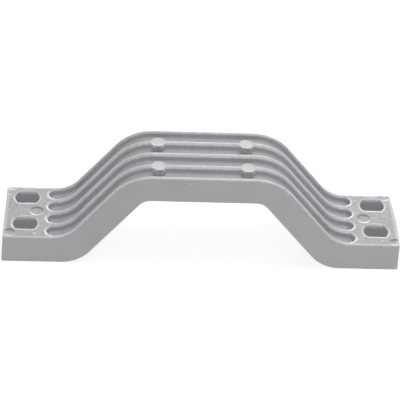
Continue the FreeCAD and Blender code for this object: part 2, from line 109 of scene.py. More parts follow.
# Round marks of the ejector pins on the feet, as (x, y, radius), and nicks, as (x, y).
MARK_DEPTH = 0.35
MARK_WALL = 0.3
LEFT_MARKS = ((88.58, 1.0, 3.5), (102.4, 22.9, 2.6), (102.2, -18.4, 2.8))
RIGHT_MARKS = ((88.58, 1.0, 3.5), (101.7, 20.6, 2.4), (103.3, -19.4, 2.3))
LEFT_NICKS = ((88.5, -19.2), (89.4, -19.2), (103.3, 15.8), (102.6, -19.7))
RIGHT_NICKS = ((85.4, 18.0), (96.6, -19.0))

# Studs: places on the bridge, and outlines as (radius, height above the bridge's top). The
# lip is round about its place, and its turns are the places on it. A neck's section lies
# between a circle and a square: |x|^p + |y|^p = 1, where p is the neck's power.
STUD_PLACES = ((-23.7, -10.9), (-24.2, 10.9), (23.0, -10.9), (22.8, 10.9))
STUD_DISH = ((2.7, 0.02), (3.3, 0.04), (3.52, 0.1))
STUD_DISH_HEIGHT = 0.02
LIP_RADIUS = 0.16
LIP_PLACE = (3.76, 0.12)
LIP_TURNS = (2.6, 2.0, 1.4, 0.8, 0.2)
STUD_SIDE = ((3.92, -0.1), (3.86, -0.4))
STUD_NECK = ((3.7, -0.4), (3.66, -1.6), (3.6, -2.8), (3.5, -4.6))
NECK_POWER = 4.4

# Fineness of the skin: lengths of its steps, counts, and drops down its walls. The steps
# across a ridge are those of the ribbed run and of the feet, which meet there.
ROW_STEP = 1.0
PLAN_STEP = 1.1
SOLE_STEP = 2.5 * PLAN_STEP
GROOVE_STEPS = 6
ROUND_STEPS = 4
CORNER_STEPS = 5
END_STEPS = 18
SLOT_ARC_STEPS = 14
SLOT_FLAT_STEPS = 9
MARK_STEPS = 48
STUD_STEPS = 64
RIDGE_STEPS = 3
EDGE_RIDGE_STEPS = 2
SOLE_COLUMNS = 20
BEND_POINTS = 28
WALL_DROPS = (0.04, 0.2, 0.4, 0.6, 0.8)

# Scattered points of a filled plan, in shares of its step: their scatter, and the room
# that they leave round points that are there already. Random draws start at the seed.
PLAN_SCATTER = 0.12
PLAN_ROOM = 0.55
PLAN_SEED = 11

# Tolerances, the second one in metres.
NEAR = 0.01
WELD = 0.00001

# Tones, which the finish reads at each point: above 0 is a painted highlight, which on the
# bar's outer edges stands for rubbed wear too, and below 0 is painted shade. The painted
# highlight on an edge that faces sideways, and how much more or less one gets that faces
# back or to the front.
SIDE_SHINE = 0.7
BACK_SHINE = 0.5
# Ends of the grooves: the brightest painted highlight on the rim lies a turn to the front of
# its tip, and the floor gets painted light on its front half.
END_SHINE = 1.6
END_SHINE_TURN = 0.55
END_SHINE_SPREAD = 0.85
END_FLOOR_SHINE = 0.8
# Ridges: the painted highlight on the steps across one between two grooves, from front to
# back, and on the middle of the two at the sides of the bar.
RIDGE_TONES = (0.0, 0.5)
EDGE_RIDGE_TONE = 0.3
# Feet: painted shade over their top, the painted highlight on the slots' rims and painted
# light on their walls, the painted highlight on the edge of the bevel behind a slot and
# painted shade on the bevel, the nicks painted bright, and the painted highlight at the
# front and painted shade at the back of the round marks.
PAD_TONE = -0.2
SLOT_SHINE = 1.3
SLOT_WALL_TONE = 0.35
BEVEL_EDGE_TONE = 0.7
BEVEL_TONE = -0.3
NICK_TONE = 1.3
MARK_FRONT_SHINE = 1.7
MARK_BACK_SHADE = 1.2
# Rings about a mark's edge, as (distance outside it, share of its painted highlight and
# shade, share of a step by which the ring is turned).
MARK_RINGS = (
    (0.8, 0.0, 0.0),
    (0.3, 1.0, 0.0),
    (-0.1, 1.0, 0.5),
    (-0.45, 1.0, 0.0),
    (-0.9, 0.0, 0.0),
)
# A thin painted highlight along a shallow ring behind each slot, with painted shade beside
# it, as (distance outside its radius, tone).
ARC_RADIUS = 7.0
ARC_ROOM = 0.2
ARC_TURNS = [math.radians(52 + 4 * i) for i in range(20)]
ARC_RINGS = ((-0.7, 2 * PAD_TONE), (-0.35, PAD_TONE), (0.0, 1.5), (0.35, PAD_TONE))
# Studs: the dish of the head painted brighter, and a painted highlight on its lip.
DISH_TONE = 0.8
LIP_TONE = 1.3

# The cast skin's long waves and fine grains, as noise scales and heights in metres.
WAVE_SCALE = 110.0
WAVE_HEIGHT = 0.00005
GRAIN_SCALE = 520.0
GRAIN_HEIGHT = 0.00002
CAST_DETAIL = 2.0
CAST_SEED = 3.0

# Colours of the metal: its two plain shades and its sand, the colour of painted highlights
# and rubbed places, and the colour of painted shade.
PLAIN_DARK = (0.518, 0.53, 0.546, 1.0)
PLAIN_LIGHT = (0.6, 0.614, 0.632, 1.0)
SANDY = (0.75, 0.765, 0.78, 1.0)
HIGHLIGHT_AND_WEAR = (0.95, 0.96, 0.97, 1.0)
PAINTED_SHADE = (0.16, 0.165, 0.17, 1.0)

# Noises of the finish, as (scale, detail, roughness).
CLOUD_NOISE = (60.0, 3.0, 0.5)
SAND_NOISE = (900.0, 3.0, 0.6)
GRIT_NOISE = (420.0, 4.0, 0.65)
SPECK_NOISE = (560.0, 0.0, 0.5)

# Strengths in the finish. Grit fades out with the drop down the walls, and it fades to its
# least share with the depth below the flats, per metre.
SAND_SHARE = 0.35
GRIT = 0.8
GRIT_LEAST = 0.25
DROP_FADE = 25.0
DEPTH_FADE = 600.0
SPECK_LEVEL = 0.835
SPECK_GAIN = 30.0
HIGHLIGHT_AND_WEAR_SHARE = 0.65
PAINTED_SHADE_SHARE = 0.5
METALLIC = 0.3
ROUGHNESS = 0.42
SAND_ROUGHNESS = 0.2
GLOSS_START = 0.55
GLOSS = 0.5
BUMP_STRENGTH = 0.5
BUMP_HEIGHT = 0.00008

# Surroundings, in metres. The floor lies just under the uneven sole. Its glow is only seen,
# and so is the surround's full white, which lights the bar with the strength below. Lamps
# are (name, place, width, power in watts).
FLOOR_Z = -0.0001
FLOOR_REACH = 4
FLOOR_COLOUR = (0.8, 0.8, 0.8, 1.0)
FLOOR_GLOW = 0.68
WHITE = (1.0, 1.0, 1.0, 1.0)
SURROUND = 0.36
LAMP_TARGET = (0.0, 0.0, 0.03)
LAMPS = (
    ("top_lamp", (0.35, 0.1, 1.0), 0.6, 1.8),
    ("back_lamp", (0.1, 0.9, 0.2), 0.5, 2.0),
)

# Camera: focal length and picture width in pixels, angles, and the place of the feet's top
# at the middle of the bar as the camera has it, in millimetres.
FOCAL = 1869.3
PICTURE_WIDTH = 400
SENSOR_WIDTH = 36.0
PITCH = math.radians(36.136)
YAW = math.radians(2.955)
ROLL = math.radians(3.126)
CAMERA_OFFSET = (0.403, 8.571, 1010.849)


def stations(corners):
    """Arc lengths along a line at its start, at both ends of each bend, and at its end."""
    lengths = [0.0]
    place = Vector(corners[0][:2])
    for before, (x, z, radius), after in zip(corners, corners[1:], corners[2:]):
        corner = Vector((x, z))
        ahead = (Vector(after[:2]) - corner).normalized()
        back = (Vector(before[:2]) - corner).normalized()
        turn = math.pi - back.angle(ahead)
        reach = radius * math.tan(turn / 2)
        lengths.append(lengths[-1] + (corner - place).length - reach)
        lengths.append(lengths[-1] + radius * turn)
        place = corner + ahead * reach
    lengths.append(lengths[-1] + (Vector(corners[-1][:2]) - place).length)
    return lengths


UPPER_STATIONS = stations(UPPER_LINE)
LOWER_STATIONS = stations(LOWER_LINE)
UPPER_LENGTH = UPPER_STATIONS[-1]
LOWER_LENGTH = LOWER_STATIONS[-1]


def upper_at(x):
    """Length along the upper line at a place on the foot."""
    return UPPER_LENGTH - (TOP_END_X - x)


def lower_at(x):
    """Length along the lower line at a place on the foot."""
    return LOWER_LENGTH - (BASE_END_X - x)


def lower_below(along):
    """Length along the lower line that belongs to a length along the upper one."""
    below = float(np.interp(abs(along), UPPER_STATIONS, LOWER_STATIONS))
    return math.copysign(below, along)


def side_below(x):
    """Length along the lower line under a place on the foot's upper outline."""
    start = lower_below(upper_at(GROOVE_END_X))
    return start + (LOWER_LENGTH - start) * (x - GROOVE_END_X) / (TOP_END_X - GROOVE_END_X)


def quarter(radius):
    """A rounded edge as (inset, fall, tone) from its flat side down, its painted highlight
    strongest at the flat side.
    """
    points = []
    for step in range(ROUND_STEPS + 1):
        turn = math.pi / 2 * step / ROUND_STEPS
        inset = radius * (1 - math.sin(turn))
        fall = radius * (1 - math.cos(turn))
        points.append((inset, fall, 1 - step / ROUND_STEPS))
    return points


def side_levels():
    """The bar's side from the top down, as (inset, drop, lift, sole lift, tone)."""
    levels = [(inset, 0.0, -fall, 0.0, tone) for inset, fall, tone in quarter(TOP_EDGE)]
    levels += [(0.0, drop, -TOP_EDGE, BASE_EDGE, 0.0) for drop in WALL_DROPS]
    base_edge = reversed(quarter(BASE_EDGE))
    return levels + [(inset, 1.0, 0.0, fall, tone) for inset, fall, tone in base_edge]


def shine(back):
    """How strong the painted highlight is on an edge that faces back (1), sideways (0) or to the
    front (-1).
    """
    return min(max(SIDE_SHINE + BACK_SHINE * back, 0.0), 1.0)


def groove_half_section():
    """Half a groove as (reach, lift, tone), from its middle line to the ridge's flat."""
    points = [(0.0, -GROOVE_DEPTH, 0.0)]
    for step in range(GROOVE_STEPS + 1):
        turn = math.pi / 2 * step / GROOVE_STEPS
        reach = GROOVE_RADIUS - FLOOR_ROUND * (1 - math.sin(turn))
        points.append((reach, FLOOR_ROUND * (1 - math.cos(turn)) - GROOVE_DEPTH, 0.0))
    for step in range(ROUND_STEPS + 1):
        turn = math.pi * (1 - 0.5 * step / ROUND_STEPS)
        reach = RIM_REACH + RIM_RADIUS * math.cos(turn)
        points.append((reach, RIM_RADIUS * (math.sin(turn) - 1), step / ROUND_STEPS))
    return points


def end_tone(turn, reach, lift, tone):
    """The tone of a groove's section where it turns round the groove's end: painted light on the
    floor's front half, and a painted highlight on the rim.
    """
    if lift < -GROOVE_DEPTH / 2:
        return max(-math.sin(turn), 0.0) * END_FLOOR_SHINE * reach / GROOVE_RADIUS
    facing = math.cos((turn + END_SHINE_TURN) * END_SHINE_SPREAD)
    return tone * END_SHINE * max(facing, 0.0)


def mark_fall(marks, x, y):
    """How deep the round marks sink the foot's upper face at a place, less near its edges."""
    deepest = 0.0
    for centre_x, centre_y, radius in marks:
        share = (radius - math.hypot(x - centre_x, y - centre_y)) / MARK_WALL
        share = min(share, (PAD_HALF_WIDTH - abs(y)) / TOP_EDGE, (TOP_END_X - x) / TOP_EDGE)
        share = min(max(share, 0.0), 1.0)
        deepest = max(deepest, MARK_DEPTH * share * share * (3 - 2 * share))
    return deepest


class Skin:
    """The unrolled skin, as points with the numbers that the node tree bends it by.

    along and below are lengths along the upper and the lower line, and drop is 0 on the
    first and 1 on the second. lift and sole_lift are heights off them. across is a length,
    and side a share of the bar's half width that is added to it. tone is the painted
    highlight (above 0) or the painted shade (below 0) that the finish gives the metal.
    """

    COLUMNS = ("along", "below", "drop", "lift", "sole_lift", "across", "side", "tone")
    SHARES = ("drop", "side", "tone")

    def __init__(self):
        self.points = []
        self.faces = []

    def point(self, along, below, drop, lift, sole_lift, across, side, tone=0.0):
        """Adds a point and returns its number."""
        self.points.append((along, below, drop, lift, sole_lift, across, side, tone))
        return len(self.points) - 1

    def strip(self, first, second):
        """Quads that face up where both rows run to +Y and the second is further along."""
        for a, b, c, d in zip(first, first[1:], second[1:], second):
            self.faces.append((a, d, c, b))

    def bow(self, most, middle, fall):
        """Moves the top of the foot's end outwards, by a curve across the bar."""
        start = upper_at(BOW_START_X)
        for i, (along, *others) in enumerate(self.points):
            across, side = others[4:6]
            y = across + side * PAD_HALF_WIDTH
            reach = max(most - fall * (y - middle) ** 2, 0.0)
            along += reach * max(along - start, 0.0) / (UPPER_LENGTH - start)
            self.points[i] = (along, *others)

    def join(self, other):
        """Adds the points and faces of another skin."""
        count = len(self.points)
        self.points += other.points
        self.faces += [tuple(count + i for i in face) for face in other.faces]

    def mirror(self):
        """Turns what is drawn so far from the right half to the left."""
        self.points = [(-p[0], -p[1]) + p[2:] for p in self.points]
        self.faces = [tuple(reversed(face)) for face in self.faces]


def inside(polygon, x, y):
    """True where a place lies inside a closed polygon."""
    within = False
    for (x0, y0), (x1, y1) in zip(polygon, polygon[1:] + polygon[:1]):
        if (y0 > y) != (y1 > y) and x < x0 + (y - y0) * (x1 - x0) / (y1 - y0):
            within = not within
    return within


def fill_plan(outer, holes, loose, step):
    """Triangles over a plan: (places, triples), with the outlines' own points first."""
    places = list(outer)
    edges = [(i, (i + 1) % len(outer)) for i in range(len(outer))]
    for hole in holes:
        start = len(places)
        places += hole
        edges += [(start + i, start + (i + 1) % len(hole)) for i in range(len(hole))]

    def covered(x, y):
        return inside(outer, x, y) and not any(inside(hole, x, y) for hole in holes)

    fixed = np.array(places + loose)
    low = fixed.min(0)
    high = fixed.max(0)
    rng = np.random.default_rng(PLAN_SEED)
    columns = int((high[0] - low[0]) / step)
    rows = int((high[1] - low[1]) / step)
    places += loose
    for i in range(columns + 1):
        for j in range(rows + 1):
            scatter_x = rng.uniform(-PLAN_SCATTER, PLAN_SCATTER) * step
            scatter_y = rng.uniform(-PLAN_SCATTER, PLAN_SCATTER) * step
            x = low[0] + (i + 0.5 * (j % 2)) * step + scatter_x
            y = low[1] + j * step + scatter_y
            room = np.min(np.hypot(fixed[:, 0] - x, fixed[:, 1] - y))
            if room >= PLAN_ROOM * step and covered(x, y):
                places.append((x, y))
    spots = [Vector(place) for place in places]
    coords, _, faces, origins, _, _ = delaunay_2d_cdt(spots, edges, [], 0, 1e-6)
    source = [group[0] if group else None for group in origins]
    triples = []
    for face in faces:
        x = sum(coords[i].x for i in face) / len(face)
        y = sum(coords[i].y for i in face) / len(face)
        if covered(x, y):
            triples.append(tuple(source[i] for i in face))
    return places, triples


def slot_ring(centre, offset):
    """A slot's outline, moved outwards by an offset, anticlockwise."""
    radius = SLOT_RADIUS + offset
    half = SLOT_HALF_WIDTH + offset
    turn = math.asin(half / radius)
    reach = radius * math.cos(turn)
    ring = []
    for middle, sign in ((0.0, 1), (math.pi, -1)):
        for step in range(SLOT_ARC_STEPS):
            angle = middle - turn + 2 * turn * step / SLOT_ARC_STEPS
            x = centre[0] + radius * math.cos(angle)
            ring.append((x, centre[1] + radius * math.sin(angle)))
        for step in range(SLOT_FLAT_STEPS):
            x = centre[0] + sign * reach * (1 - 2 * step / SLOT_FLAT_STEPS)
            ring.append((x, centre[1] + sign * half))
    return ring


def slot_level(centre, offset, share):
    """A slot's outline in its round rim, with a share of the bevel along its back instead."""
    back = centre[1] + SLOT_HALF_WIDTH + offset - NEAR
    bevel = centre[1] + SLOT_HALF_WIDTH + SLOT_BEVEL * (1 - share)
    return [(x, bevel if y > back else y) for x, y in slot_ring(centre, offset)]


def slot_shine(centre, y):
    """How strong the painted highlight on a slot's rim is at a place."""
    return SLOT_SHINE * shine((centre[1] - y) / SLOT_HALF_WIDTH)


def foot_outline():
    """The foot's top from groove ends round to groove ends, as (x, y, outward x, outward y)."""
    last_x = TOP_END_X - CORNER
    corner_y = PAD_HALF_WIDTH - CORNER
    turns = [math.pi / 2 * i / CORNER_STEPS for i in range(1, CORNER_STEPS)]
    count = round((last_x - GROOVE_END_X) / PLAN_STEP)
    xs = [GROOVE_END_X + (last_x - GROOVE_END_X) * i / count for i in range(count + 1)]
    points = [(x, -PAD_HALF_WIDTH, 0.0, -1.0) for x in xs]
    for turn in turns:
        out = (math.sin(turn), -math.cos(turn))
        points.append((last_x + CORNER * out[0], -corner_y + CORNER * out[1], *out))
    count = round(2 * corner_y / PLAN_STEP)
    ys = [-corner_y + 2 * corner_y * i / count for i in range(count + 1)]
    points += [(TOP_END_X, y, 1.0, 0.0) for y in ys]
    for turn in turns:
        out = (math.cos(turn), math.sin(turn))
        points.append((last_x + CORNER * out[0], corner_y + CORNER * out[1], *out))
    return points + [(x, PAD_HALF_WIDTH, 0.0, 1.0) for x in reversed(xs)]


def place_across(y):
    """A place across the upper face as (fixed part, share that follows the bar's width)."""
    share = (abs(y) - EDGE_RIDGE_START) / (PAD_HALF_WIDTH - TOP_EDGE - EDGE_RIDGE_START)
    share = min(max(share, 0.0), 1.0)
    if share == 0.0:
        return y, 0.0
    sign = math.copysign(1.0, y)
    return sign * ((1 - share) * EDGE_RIDGE_START - share * TOP_EDGE), sign * share


class Foot:
    """A right foot: its groove ends, flat top, slots, marks, rounded edges, walls and sole."""

    def __init__(self, marks, nicks):
        self.skin = Skin()
        self.marks = marks
        self.nicks = nicks
        self.outline = foot_outline()
        self.tones = {}

    def set_tone(self, x, y, tone):
        """Keeps the tone of a place on the flat top."""
        self.tones[round(x, 3), round(y, 3)] = tone

    def tone_at(self, x, y):
        """The tone that was kept for a place on the flat top, or the painted shade of the plain
        top.
        """
        return self.tones.get((round(x, 3), round(y, 3)), PAD_TONE)

    def top_point(self, x, y, lift, tone):
        """A point of the upper face, sunk where a mark is."""
        across, side = place_across(y)
        lift -= mark_fall(self.marks, x, y)
        return self.skin.point(upper_at(x), lower_at(x), 0.0, lift, 0.0, across, side, tone)

    def draw_groove_ends(self):
        """The grooves' round ends, ring by ring. Returns the outermost arc of each."""
        turns = [math.pi * (i / END_STEPS - 0.5) for i in range(END_STEPS + 1)]
        arcs = []
        for centre_y in GROOVE_CENTRES:
            rings = []
            for reach, lift, tone in groove_half_section():
                arc = []
                ring = []
                for turn in turns:
                    x = GROOVE_END_X + reach * math.cos(turn)
                    y = centre_y + reach * math.sin(turn)
                    turned = end_tone(turn, reach, lift, tone)
                    arc.append((x, y))
                    ring.append(self.top_point(x, y, lift, turned))
                    self.set_tone(x, y, turned)
                rings.append(ring)
            for inner, outer in zip(rings, rings[1:]):
                self.skin.strip(inner, outer)
            arcs.append(arc)
        return arcs

    def toned_places(self):
        """Places about the marks, at the nicks and behind the slots, as (x, y, tone)."""
        for centre_x, centre_y, mark_radius in self.marks:
            for out, strength, turned in MARK_RINGS:
                radius = mark_radius + out
                for i in range(MARK_STEPS):
                    turn = 2 * math.pi * (i + turned) / MARK_STEPS
                    # A painted highlight on the front of the mark and painted shade on its back.
                    front = -math.sin(turn)
                    shade = MARK_FRONT_SHINE if front > 0 else MARK_BACK_SHADE
                    x = centre_x + radius * math.cos(turn)
                    y = centre_y + radius * math.sin(turn)
                    yield x, y, PAD_TONE + strength * front * shade
        for x, y in self.nicks:
            yield x, y, NICK_TONE
        for centre_x, centre_y in SLOT_CENTRES:
            for out, tone in ARC_RINGS:
                for turn in ARC_TURNS:
                    x = centre_x + (ARC_RADIUS + out) * math.cos(turn)
                    y = centre_y + (ARC_RADIUS + out) * math.sin(turn)
                    if y - centre_y > SLOT_HALF_WIDTH + SLOT_BEVEL + ARC_ROOM:
                        yield x, y, tone

    def draw_top(self, arcs):
        """The flat top between the rounded edge, the groove ends' arcs and the slots."""
        inner_ring = [(x - nx * TOP_EDGE, y - ny * TOP_EDGE) for x, y, nx, ny in self.outline]
        boundary = list(inner_ring)
        steps = EDGE_RIDGE_STEPS
        for arc in reversed(arcs):
            y_from = boundary[-1][1]
            y_to = arc[-1][1]
            ys = [y_from + (y_to - y_from) * i / steps for i in range(1, steps)]
            boundary += [(GROOVE_END_X, y) for y in ys]
            boundary += reversed(arc)
            steps = RIDGE_STEPS
        boundary.append((GROOVE_END_X, (boundary[-1][1] + inner_ring[0][1]) / 2))
        holes = [slot_level(centre, SLOT_RIM, 0.0) for centre in SLOT_CENTRES]

        # Painted highlight along the top's rounded edge, the slots' rims and the edges of their
        # bevels.
        for x, y in inner_ring:
            self.set_tone(x, y, 1.0)
        for centre, hole in zip(SLOT_CENTRES, holes):
            for x, y in hole:
                at_back = y - centre[1] > SLOT_HALF_WIDTH + SLOT_BEVEL - NEAR
                self.set_tone(x, y, BEVEL_EDGE_TONE if at_back else slot_shine(centre, y))
        loose = []
        for x, y, tone in self.toned_places():
            if inside(inner_ring, x, y):
                loose.append((x, y))
                self.set_tone(x, y, tone)

        places, triples = fill_plan(boundary, holes, loose, PLAN_STEP)
        numbers = [self.top_point(x, y, 0.0, self.tone_at(x, y)) for x, y in places]
        self.skin.faces += [tuple(numbers[i] for i in triple) for triple in triples]

    def outline_ring(self, inset, drop, lift, sole_lift, tone):
        """A ring of points round the foot's outline, at one level of its side."""
        ring = []
        for x, y, nx, ny in self.outline:
            fall = 0.0
            if drop < 1.0:
                fall = mark_fall(self.marks, x - nx * inset, y - ny * inset)
            along = upper_at(x) - nx * inset
            below = side_below(x) - nx * inset
            place = (along, below, drop, lift - fall, sole_lift, -ny * inset, y / PAD_HALF_WIDTH)
            ring.append(self.skin.point(*place, tone))
        return ring

    def draw_walls(self):
        """The rounded top edge, wall and rounded bottom edge."""
        rings = [self.outline_ring(*level) for level in side_levels()]
        for upper, lower in zip(rings, rings[1:]):
            self.skin.strip(upper, lower)

    def slot_rim_ring(self, centre, step, offset, fall, tone):
        """A ring of points on a slot's rim, which is bevelled at the back."""
        share = step / ROUND_STEPS
        ring = []
        for x, y in slot_level(centre, offset, share):
            if y - centre[1] > SLOT_HALF_WIDTH - NEAR:
                # A painted highlight on the bevel's edge and painted shade down the bevel.
                bevel_tone = BEVEL_EDGE_TONE if step == 0 else BEVEL_TONE
                ring.append(self.top_point(x, y, -SLOT_BEVEL_FALL * share, bevel_tone))
            else:
                ring.append(self.top_point(x, y, -fall, tone * slot_shine(centre, y)))
        return ring

    def draw_slots(self):
        """The slots' walls, from their rims down to the sole."""
        foot_rim = list(reversed(quarter(SLOT_FOOT_RIM)))[1:]
        for centre in SLOT_CENTRES:
            rings = []
            for step, level in enumerate(quarter(SLOT_RIM)):
                rings.append(self.slot_rim_ring(centre, step, *level))
            # Painted light on the slots' walls.
            wall = slot_ring(centre, 0.0)
            for depth in SLOT_DEPTHS:
                rings.append([self.top_point(x, y, -depth, SLOT_WALL_TONE) for x, y in wall])
            for offset, fall, tone in foot_rim:
                ring = []
                for x, y in slot_ring(centre, offset):
                    place = (upper_at(x), lower_at(x), 1.0, 0.0, fall, y, 0.0)
                    ring.append(self.skin.point(*place, tone))
                rings.append(ring)
            for upper, lower in zip(rings, rings[1:]):
                self.skin.strip(lower + lower[:1], upper + upper[:1])

    def draw_sole(self):
        """The flat underside, round the slots."""
        widening = BASE_HALF_WIDTH / PAD_HALF_WIDTH
        outline = []
        for x, y, nx, ny in self.outline:
            outline.append((side_below(x) - nx * BASE_EDGE, y * widening - ny * BASE_EDGE))
        (below, y_from), (_, y_to) = outline[-1], outline[0]
        ys = [y_from + (y_to - y_from) * i / SOLE_COLUMNS for i in range(1, SOLE_COLUMNS)]
        outline += [(below, y) for y in ys]
        shift = lower_at(0.0)
        holes = []
        for centre in SLOT_CENTRES:
            holes.append([(x + shift, y) for x, y in slot_ring(centre, SLOT_FOOT_RIM)])
        places, triples = fill_plan(outline, holes, [], SOLE_STEP)
        edge = BASE_HALF_WIDTH - BASE_EDGE
        numbers = []
        for below, y in places:
            place = (0.0, below, 1.0, 0.0, 0.0, -y / edge * BASE_EDGE, y / edge)
            numbers.append(self.skin.point(*place))
        self.skin.faces += [tuple(numbers[i] for i in reversed(triple)) for triple in triples]


def draw_foot(marks, nicks, bow):
    """The skin of a right foot."""
    foot = Foot(marks, nicks)
    foot.draw_top(foot.draw_groove_ends())
    foot.draw_walls()
    foot.draw_slots()
    foot.draw_sole()
    foot.skin.bow(*bow)
    return foot.skin


def span_columns():
    """The upper face of the ribbed run from front to back, as (y, lift, tone)."""
    half = groove_half_section()
    inner = PAD_HALF_WIDTH - TOP_EDGE
    middle = (inner + EDGE_RIDGE_START) / 2
    columns = [(-inner, 0.0, 1.0), (-middle, 0.0, EDGE_RIDGE_TONE)]
    for centre_y in GROOVE_CENTRES:
        if centre_y != GROOVE_CENTRES[0]:
            y_from = columns[-1][0]
            y_to = centre_y - RIM_REACH
            for i, tone in enumerate(RIDGE_TONES, start=1):
                columns.append((y_from + (y_to - y_from) * i / RIDGE_STEPS, 0.0, tone))
        # The groove's front rim, which faces back, gets the full painted highlight, its back rim
        # a weak one.
        for reach, lift, tone in reversed(half[1:]):
            columns.append((centre_y - reach, lift, tone * shine(1)))
        for reach, lift, tone in half:
            columns.append((centre_y + reach, lift, tone * shine(-1)))
    return columns + [(middle, 0.0, EDGE_RIDGE_TONE), (inner, 0.0, 1.0)]


def draw_span(skin):
    """The ribbed run between the feet: upper face, rounded edges, side walls and underside."""
    last = upper_at(GROOVE_END_X)
    count = 2 * round(last / ROW_STEP)
    rows = [last * (2 * i / count - 1) for i in range(count + 1)]

    grid = []
    columns = span_columns()
    for along in rows:
        row = []
        for y, lift, tone in columns:
            across, side = place_across(y)
            place = (along, lower_below(along), 0.0, lift, 0.0, across, side)
            row.append(skin.point(*place, tone))
        grid.append(row)
    for near, far in zip(grid, grid[1:]):
        skin.strip(near, far)

    for sign in (-1, 1):
        runs = []
        for inset, drop, lift, sole_lift, tone in side_levels():
            run = []
            for along in rows:
                place = (along, lower_below(along), drop, lift, sole_lift, -sign * inset, sign)
                run.append(skin.point(*place, tone))
            runs.append(run)
        for upper, lower in zip(runs, runs[1:]):
            if sign < 0:
                skin.strip(upper, lower)
            else:
                skin.strip(lower, upper)

    under = []
    sides = [1 - 2 * i / SOLE_COLUMNS for i in range(SOLE_COLUMNS + 1)]
    for along in rows:
        row = []
        for side in sides:
            place = (along, lower_below(along), 1.0, 0.0, 0.0, -side * BASE_EDGE, side)
            row.append(skin.point(*place))
        under.append(row)
    for near, far in zip(under, under[1:]):
        skin.strip(near, far)


def mesh_from(name, places, faces, edges=()):
    """A new object of the given mesh."""
    mesh = bpy.data.meshes.new(name)
    mesh.from_pydata(places, list(edges), faces)
    piece = bpy.data.objects.new(name, mesh)
    bpy.context.scene.collection.objects.link(piece)
    return piece


def store(mesh, name, values):
    """Keeps a number for each point of a mesh."""
    attribute = mesh.attributes.new(name, "FLOAT", "POINT")
    attribute.data.foreach_set("value", np.array(values, np.float32))


def draw_skin():
    """The whole unrolled skin as a flat mesh, with its numbers kept at its points."""
    skin = draw_foot(LEFT_MARKS, LEFT_NICKS, LEFT_BOW)
    skin.mirror()
    skin.join(draw_foot(RIGHT_MARKS, RIGHT_NICKS, RIGHT_BOW))
    draw_span(skin)
    along = Skin.COLUMNS.index("along")
    across = Skin.COLUMNS.index("across")
    places = [(point[along] * MM, point[across] * MM, 0.0) for point in skin.points]
    flat = mesh_from("unrolled_skin", places, skin.faces)
    for column, name in enumerate(Skin.COLUMNS):
        scale = 1.0 if name in Skin.SHARES else MM
        store(flat.data, name, [point[column] * scale for point in skin.points])
    return flat


def draw_line(name, half):
    """One line of the side view from end to end, with its bends kept at its points."""
    end_x, end_z, _ = half[-1]
    right = half[1:-1] + [(end_x + LINE_SPARE, end_z, 0.0)]
    corners = [(-x, z, radius) for x, z, radius in reversed(right)] + right
    places = [(x * MM, 0.0, z * MM) for x, z, _ in corners]
    piece = mesh_from(name, places, [], [(i, i + 1) for i in range(len(places) - 1)])
    store(piece.data, "bend", [radius * MM for _, _, radius in corners])
    return piece


def stud_levels():
    """A stud's levels from its middle out and down, as (radius, height, on the neck, tone)."""
    levels = [(*place, False, DISH_TONE) for place in STUD_DISH]
    for turn in LIP_TURNS:
        radius = LIP_PLACE[0] + LIP_RADIUS * math.cos(turn)
        height = LIP_PLACE[1] + LIP_RADIUS * math.sin(turn)
        levels.append((radius, height, False, LIP_TONE))
    levels += [(*place, False, 0.0) for place in STUD_SIDE]
    return levels + [(*place, True, 0.0) for place in STUD_NECK]


def draw_stud():
    """One stud: a dished round head with a raised lip, on a square neck with rounded corners."""
    levels = stud_levels()
    places = [(0.0, 0.0, STUD_DISH_HEIGHT * MM)]
    tones = [DISH_TONE]
    for radius, height, on_neck, tone in levels:
        for i in range(STUD_STEPS):
            turn = 2 * math.pi * i / STUD_STEPS
            x, y = math.cos(turn), math.sin(turn)
            if on_neck:
                swell = (abs(x) ** NECK_POWER + abs(y) ** NECK_POWER) ** (-1 / NECK_POWER)
                x, y = x * swell, y * swell
            places.append((radius * x * MM, radius * y * MM, height * MM))
            tones.append(tone)
    faces = [(0, 1 + i, 1 + (i + 1) % STUD_STEPS) for i in range(STUD_STEPS)]
    starts = [1 + level * STUD_STEPS for level in range(len(levels))]
    for start in starts[:-1]:
        for i in range(STUD_STEPS):
            a = start + i
            b = start + (i + 1) % STUD_STEPS
            faces.append((a, a + STUD_STEPS, b + STUD_STEPS, b))
    faces.append(tuple(starts[-1] + i for i in reversed(range(STUD_STEPS))))
    piece = mesh_from("stud", places, faces)
    store(piece.data, "tone", tones)
    return piece


class Tree:
    """A node tree under construction, with short ways to add and link its nodes."""

    def __init__(self, tree):
        self.tree = tree

    def add(self, kind, **settings):
        """A new node of a kind, with its settings."""
        node = self.tree.nodes.new(kind)
        for key, value in settings.items():
            setattr(node, key, value)
        return node

    def link(self, source, target):
        """Links an output to an input."""
        self.tree.links.new(source, target)

    def feed(self, target, value):
        """Links a socket, or sets a plain value."""
        if isinstance(value, bpy.types.NodeSocket):
            self.link(value, target)
        else:
            target.default_value = value

    def fed(self, node, values):
        """The first output of a node whose inputs take the values in turn."""
        for target, value in zip(node.inputs, values):
            self.feed(target, value)
        return node.outputs[0]

    def math(self, operation, *values):
        """The result of a sum with numbers."""
        return self.fed(self.add("ShaderNodeMath", operation=operation), values)

    def vector(self, operation, *values):
        """The result of a sum with vectors."""
        return self.fed(self.add("ShaderNodeVectorMath", operation=operation), values)

    def combine(self, x, y, z):
        """A vector of three numbers."""
        return self.fed(self.add("ShaderNodeCombineXYZ"), (x, y, z))

    def split(self, vector):
        """The three numbers of a vector."""
        node = self.add("ShaderNodeSeparateXYZ")
        self.link(vector, node.inputs[0])
        return node.outputs["X"], node.outputs["Y"], node.outputs["Z"]

    def scaled(self, vector, factor):
        """A vector times a number."""
        node = self.add("ShaderNodeVectorMath", operation="SCALE")
        self.feed(node.inputs[0], vector)
        self.feed(node.inputs["Scale"], factor)
        return node.outputs[0]


